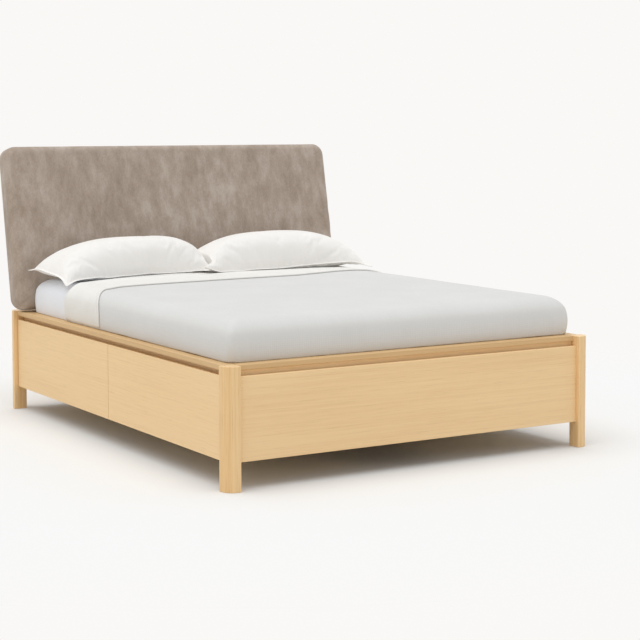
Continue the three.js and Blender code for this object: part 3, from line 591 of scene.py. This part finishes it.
def stack(half_x, half_y, radius, heights, norm=2):
    """Rings of a rounded rectangle about the origin, one for each height, with their half sizes
    and corner radius. A ring's points are its corner centres plus the radius at their angle,
    on the unit circle of that norm: 2 is round and 8 nearly square."""
    centres, angles = ring_frame()
    turned = np.stack([np.cos(angles), np.sin(angles)], -1)
    turned = turned / (np.abs(turned) ** norm).sum(-1, keepdims=True) ** (1 / norm)
    halves = np.stack([half_x - radius, half_y - radius], -1)[:, None]
    flat = centres * halves + turned * radius[:, None, None]
    return np.concatenate([flat, np.broadcast_to(heights[:, None, None], (*flat.shape[:2], 1))], -1)


def closed_skin(rings):
    """Points and faces of rings joined one to the next, with a fan to a middle point at each
    end. The first ring is the lowest."""
    count, columns = rings.shape[:2]
    ends = np.stack([rings[0].mean(0), rings[-1].mean(0)])
    points = np.concatenate([rings.reshape(-1, 3), ends])
    around = np.arange(columns)
    following = (around + 1) % columns
    first, last = count * columns, count * columns + 1
    low = np.stack([np.full(columns, first), following, around], -1)
    base = (count - 1) * columns
    high = np.stack([np.full(columns, last), base + around, base + following], -1)
    return points, [*grid_faces(count, columns, around=True).tolist(), *low.tolist(), *high.tolist()]


def mattress(material):
    """The mattress in its fitted sheet: rings that round the lower edge, swell up the sides,
    round the shoulder and close over a low crown."""
    lower, least_radius = 0.018, 0.004
    firmness = 0.75  # share of the swelling that the mattress has without its cloths
    dimple, dimples_per_metre, under_caps = 0.0008, 5, 0.02
    over_cap = np.array([0.0, 0.0005, 0.001, 0.0018, 0.003, 0.005])
    turn = np.linspace(0, math.pi / 2, 6)
    rise = np.linspace(0, 1, 20)[1:-1]
    shoulder = MATTRESS_TOP - SHOULDER
    arc = np.linspace(0, math.pi / 2, 12)
    side = MATTRESS_BASE + lower + rise * (shoulder - MATTRESS_BASE - lower)
    side = np.union1d(side, CAP_TOP + over_cap)
    inset = np.concatenate([lower * (1 - np.sin(turn)), np.zeros(len(side)), SHOULDER * (1 - np.cos(arc))])
    z = np.concatenate([MATTRESS_BASE + lower * (1 - np.cos(turn)), side, shoulder + SHOULDER * np.sin(arc)])
    swell = firmness * swelling(z)
    rings = stack(MATTRESS_HALF_WIDTH - inset + swell, MATTRESS_HALF_LENGTH - inset + swell,
                  np.maximum(MATTRESS_CORNER - inset + swell, least_radius), z, norm=6)
    # The head end stays flat against the headboard
    rings[:, :, 1] -= np.clip(rings[:, :, 1] - MATTRESS_HALF_LENGTH, 0, None)
    shares = np.array([0.97, 0.92, 0.84, 0.72, 0.58, 0.42, 0.25, 0.1])[:, None, None]
    top = rings[-1] * shares
    top[:, :, 2] = MATTRESS_TOP + CROWN * (1 - shares[:, :, 0] ** 2)
    base = rings[0] * shares[::-1]
    base[:, :, 2] = rings[0, 0, 2]
    rings = np.concatenate([base, rings, top])
    rings[:, :, 1] += MATTRESS_MIDDLE
    points, faces = closed_skin(rings)
    above = points[:, 2] > CAP_TOP - under_caps
    dimples = unevenness(points[:, 0] * dimples_per_metre, points[:, 1] * dimples_per_metre, seed=5)
    points[:, 2] += above * dimple * dimples
    piece = new_piece("mattress_in_sheet", points, faces, material, points[:, :2] + points[:, 2:])
    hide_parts("mattress")
    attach(piece, "frame")


HEADBOARD_LEAN = math.radians(11.1)
PAD_BOTTOM, PAD_TOP, PAD_REACH = 0.457, 1.196, 0.178
PAD_HALF_WIDTH, PAD_THICKNESS, PAD_CORNER, PAD_CROWN = 0.854, 0.098, 0.056, 0.007
PAD_FRONT_RADIUS, PAD_REAR_RADIUS = 0.034, 0.008
RECESS_INSET, RECESS_DEPTH = 0.0215, 0.0125  # for the board in the pad's back


def pad_rings(height):
    """The pad lying on its back: rings from the recess for its board out to the rear edge, up
    the sides, round the front edge and in over the crowned face."""
    rear = np.linspace(0, math.pi / 2, 6)
    side = np.linspace(0, 1, 12)[1:-1]
    front = np.linspace(0, math.pi / 2, 14)
    flat_z = PAD_THICKNESS - PAD_CROWN - PAD_FRONT_RADIUS
    inset = np.concatenate([PAD_REAR_RADIUS * (1 - np.sin(rear)), np.zeros(len(side)),
                            PAD_FRONT_RADIUS * (1 - np.cos(front))])
    z = np.concatenate([PAD_REAR_RADIUS * (1 - np.cos(rear)),
                        PAD_REAR_RADIUS + side * (flat_z - PAD_REAR_RADIUS),
                        flat_z + PAD_FRONT_RADIUS * np.sin(front)])
    # The corner's radius shrinks a little more slowly than the inset grows
    shrinking = 0.9
    rings = stack(PAD_HALF_WIDTH - inset, height / 2 - inset, PAD_CORNER - inset * shrinking, z)
    shares = np.array([0.985, 0.96, 0.92, 0.86, 0.78, 0.66, 0.52, 0.36, 0.18])[:, None, None]
    face = rings[-1] * shares
    face[:, :, 2] = PAD_THICKNESS - PAD_CROWN * shares[:, :, 0] ** 2
    # The recess runs from a ring inside its floor to the floor's edge and up its wall
    floor_share, recess_radius = 0.9, 0.002
    depths = np.array([RECESS_DEPTH, RECESS_DEPTH, RECESS_DEPTH / 2, 0.0])
    mouth = np.full(len(depths), RECESS_INSET)
    back = stack(PAD_HALF_WIDTH - mouth, height / 2 - mouth, np.full(len(depths), recess_radius), depths)
    back[0, :, :2] *= floor_share
    return np.concatenate([back, rings, face])


def headboard(material):
    """The headboard's pad, stood up at its lean. Stitching along its sides draws the cover into
    puckers, and the stuffing is a little uneven."""
    pucker_height, broad_height = 0.0030, 0.0015
    puckers_per_metre, pucker_rows_per_metre = 24, 6
    stitching, pucker_reach = 0.03, 0.05  # the stitching's distance from the edge, and how far it pulls
    still, loose = 0.03, 0.08  # the cover lies still up to one height over the back, loose from the other
    height = (PAD_TOP - PAD_BOTTOM) / math.cos(HEADBOARD_LEAN)
    points, faces = closed_skin(pad_rings(height))
    local_x, local_y, local_z = points.T
    from_side, from_end = PAD_HALF_WIDTH - np.abs(local_x), height / 2 - np.abs(local_y)
    edge = np.minimum(from_side, from_end)
    along_edge = np.where(from_side < from_end, local_y, local_x)
    pucker = unevenness(along_edge * puckers_per_metre, edge * pucker_rows_per_metre, seed=21)
    pucker = pucker * hill(edge - stitching, pucker_reach)
    broad = unevenness(local_x * 4 + 5, local_y * 5 + 2, seed=22)
    local_z = local_z + step(still, loose, local_z) * (pucker_height * pucker + broad_height * broad)
    middle = (PAD_BOTTOM + PAD_TOP) / 2
    front_y = HEAD_FACE - PAD_REACH + (middle - PAD_BOTTOM) * math.tan(HEADBOARD_LEAN)
    back_y = front_y + PAD_THICKNESS / math.cos(HEADBOARD_LEAN)
    cos, sin = math.cos(HEADBOARD_LEAN), math.sin(HEADBOARD_LEAN)
    y = back_y + local_y * sin - local_z * cos
    placed = np.stack([local_x, y, middle + local_y * cos + local_z * sin], -1)
    piece = new_piece("headboard_cushion", placed, faces, material)
    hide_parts("headboard_pad")
    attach(piece, "frame")


# Pillows

MEETING = 0.008  # x of the plane where the two pillows press on each other


def inflate(piece, held, most):
    """Fills a closed cloth with pressure for 20 frames. held points stay, the cloth is cut a
    little large so that it puckers, and no point ends further than most from where it began."""
    frames = 20
    scene = bpy.context.scene
    before = read_points(piece.data)
    seam = piece.vertex_groups.new(name="seam")
    seam.add(held.tolist(), 1.0, "REPLACE")
    cloth = piece.modifiers.new("filling", "CLOTH")
    cloth.settings.quality = 6
    cloth.settings.use_pressure = True
    cloth.settings.uniform_pressure_force = 4.0
    cloth.settings.vertex_group_mass = seam.name
    cloth.settings.shrink_min = -0.008
    cloth.settings.effector_weights.gravity = 0.0
    cloth.collision_settings.use_collision = False
    for number in range(1, frames + 1):
        scene.frame_set(number)
    filled = piece.evaluated_get(bpy.context.evaluated_depsgraph_get()).data
    moved = read_points(filled) - before
    length = np.linalg.norm(moved, axis=1, keepdims=True)
    kept = before + moved * (most * np.tanh(length / most) / np.maximum(length, 1e-9))
    piece.modifiers.remove(cloth)
    piece.vertex_groups.remove(seam)
    write_points(piece.data, kept)
    scene.frame_set(1)


def case_seam(u, v, half_x, half_y, corners, front, sag, ears, seed):
    """The surface midway between a pillow case's two faces, which meets them at the seam, and
    the height of its creases. It blends between the four tips and draws in between them, along
    the front by the length front, where its left part sags. At each tip the ear moves it in x
    and z, and creases fan out from there."""
    side_draw, rear_draw = 0.020, 0.006
    ear_width, ear_height_width = 0.040, 0.050
    fan_creases, fan_distance, fan_width = 11, 0.07, 0.045
    sag_full, sag_none = -0.2, 0.8  # places across between which the sag fades out
    shares = np.stack([(1 - u) * (1 - v), (1 + u) * (1 - v), (1 - u) * (1 + v), (1 + u) * (1 + v)], -1) / 4
    base = shares @ corners
    base[..., 0] -= u * side_draw * (1 - v ** 2)
    base[..., 1] -= v * np.where(v < 0, front, rear_draw) * (1 - u ** 4)
    crease = 0 * u
    for (side, end), (ear_x, ear_z) in zip(((-1, -1), (1, -1), (-1, 1), (1, 1)), ears):
        from_x, from_y = (1 - side * u) * half_x, (1 - end * v) * half_y
        away = np.hypot(from_x, from_y)
        base[..., 0] += ear_x * hill(away, ear_width)
        base[..., 2] += ear_z * hill(away, ear_height_width)
        fan = np.sin(np.arctan2(from_y, from_x) * fan_creases + seed)
        crease += fan * hill(away - fan_distance, fan_width)
    base[..., 2] -= sag * (1 - step(sag_full, sag_none, u)) * (1 - u ** 4) * np.clip(-v, 0, 1) ** 2
    return base, crease


def case_faces(rows, columns):
    """Faces of two grids, the upper one first, and of the band that joins their rims."""
    count = rows * columns
    numbers = np.arange(count).reshape(rows, columns)
    rim_line = np.concatenate([numbers[0, :-1], numbers[:-1, -1], numbers[-1, :0:-1], numbers[:0:-1, 0]])
    following = np.roll(rim_line, -1)
    band = np.stack([rim_line + count, following + count, following, rim_line], -1)
    grid = grid_faces(rows, columns)
    return np.concatenate([grid, grid[:, ::-1] + count, band])


def press(points, side):
    """Lays a pillow on the bed, and presses it flat against the other one. Its front tip stays
    free, so the right pillow's lies over the left one's."""
    gap, sink = 0.0015, 0.0005
    free_until, pressed_from = 0.610, 0.645  # places along the bed
    points[:, 2] = np.maximum(points[:, 2], bedding_height(points[:, 0], points[:, 1]) - sink)
    past = MEETING + side * gap - points[:, 0]
    past = np.maximum(past, 0) if side > 0 else np.minimum(past, 0)
    points[:, 0] += past * step(free_until, pressed_from, points[:, 1])
    return points


def pillow(node, name, material, corners, crest, powers, rounds, front, sag, ears, seed):
    """A filled pillow in a narrowly flanged case: two grids of u and v from -1 to 1, with points
    closer together towards the rim. corners are its four tips, in order of u then v. Inside the
    flange the filling rises to the crest as the product of (1 - place ^ power) ^ round, with a
    power and a round for each side (-u, +u, -v, +v), and below it rests on the bed."""
    flange, rim, clearance = 0.014, 0.0012, 0.0006
    gather_height, gathers_per_metre = 0.0012, 42
    gather_fill, gather_spread = 0.35, 0.25  # the cover gathers about where it is this full
    crease_height, wave_height, wave_start = 0.002, 0.003, 0.8
    sink, sink_power = 0.01, 1.2  # how far the filling presses down, and how it grows with it
    columns, rows, bend = 113, 65, 0.88
    u, v = [np.sin(np.linspace(-1, 1, n) * math.pi / 2 * bend) / math.sin(math.pi / 2 * bend)
            for n in (columns, rows)]
    u, v = np.meshgrid(u, v)
    corners = np.array(corners)
    half_x = (corners[1, 0] - corners[0, 0] + corners[3, 0] - corners[2, 0]) / 4
    half_y = (corners[2, 1] - corners[0, 1] + corners[3, 1] - corners[1, 1]) / 4
    base, crease = case_seam(u, v, half_x, half_y, corners, front, sag, ears, seed)
    base[..., 2] = np.maximum(base[..., 2], bedding_height(base[..., 0], base[..., 1]) + rim + clearance)

    # The filling's share of its full height
    inner = [np.abs(s) / (1 - flange / half) for s, half in ((u, half_x), (v, half_y))]
    power, soft = [[np.where(s < 0, *pair) for s, pair in ((u, sides[:2]), (v, sides[2:]))]
                   for sides in (powers, rounds)]
    fill = np.prod([np.clip(1 - np.minimum(s, 1) ** p, 0, 1) ** r for s, p, r in zip(inner, power, soft)], 0)
    outermost = np.max(inner, 0)

    wave = unevenness(u * 6 + seed, v * 4, seed) * step(wave_start, 1.0, outermost)
    base[..., 2] += wave_height * wave
    gather = unevenness(u * half_x * gathers_per_metre, v * half_y * gathers_per_metre, seed + 3)
    gather = gather * hill(fill - gather_fill, gather_spread)
    folds = (gather_height * gather + crease_height * crease) * (fill > 0)
    top = base[..., 2] + rim + (crest - base[..., 2] - rim) * fill + folds
    seat = bedding_height(base[..., 0], base[..., 1])
    under = base[..., 2] - rim - (base[..., 2] - seat + sink) * fill ** sink_power
    under = np.maximum(under, np.minimum(seat, base[..., 2] - rim))
    skins = [np.stack([base[..., 0], base[..., 1], z], -1).reshape(-1, 3) for z in (top, under)]
    flat = np.concatenate([np.stack([u * half_x, v * half_y], -1).reshape(-1, 2)] * 2) + seed
    piece = new_piece(name, np.concatenate(skins), case_faces(rows, columns), material, flat)
    in_flange = 0.99
    flange_points = np.flatnonzero(np.concatenate([outermost.ravel()] * 2) > in_flange)
    inflate(piece, flange_points, most=0.010)
    write_points(piece.data, press(read_points(piece.data), np.sign(corners[:, 0].mean())))
    smooth = piece.modifiers.new("smooth", "SUBSURF")
    smooth.levels = smooth.render_levels = 1
    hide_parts(node)
    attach(piece, "frame")


add_camera()
add_light()
add_floor()
finish_frame(make_woods())

# Percale is fine and smooth; the coverlet's thicker threads and sheen make it look soft
mattress(woven_cotton("white_percale", "#eff2f7", "#ebeef4"))
coverlet(woven_cotton("grey_woven_cotton", "#dcdcdb", "#d7d7d5",
                      thread_mm=4.0, bump_mm=0.25, tone_mm=240, sheen=0.15))
top_sheet(woven_cotton("cream_percale", "#ebeae6", "#e6e4df"))
headboard(chenille())
white_cotton = woven_cotton("white_cotton", "#f5f3f0", "#f0eeea", sheen=0.2)
pillow("pillow_left", "pillow_near", white_cotton,
       corners=[(-0.790, 0.468, 0.630), (0.018, 0.600, 0.628), (-0.812, 0.862, 0.670), (0.062, 0.866, 0.660)],
       crest=0.789, powers=(2.5, 3.7, 2.4, 5.5), rounds=(0.68, 0.48, 0.72, 0.40), front=0.092, sag=0.003,
       ears=((0.0, -0.022), (0.0, 0.0), (0.0, -0.020), (0.0, 0.0)), seed=4)
pillow("pillow_right", "pillow_far", white_cotton,
       corners=[(-0.046, 0.560, 0.630), (0.806, 0.488, 0.645), (-0.050, 0.862, 0.655), (0.818, 0.862, 0.662)],
       crest=0.790, powers=(2.7, 3.0, 2.4, 5.0), rounds=(0.57, 0.58, 0.72, 0.40), front=0.095, sag=0.014,
       ears=((-0.040, 0.024), (0.0, -0.024), (0.0, 0.0), (0.0, 0.0)), seed=9)

bpy.context.scene.view_settings.view_transform = "Standard"
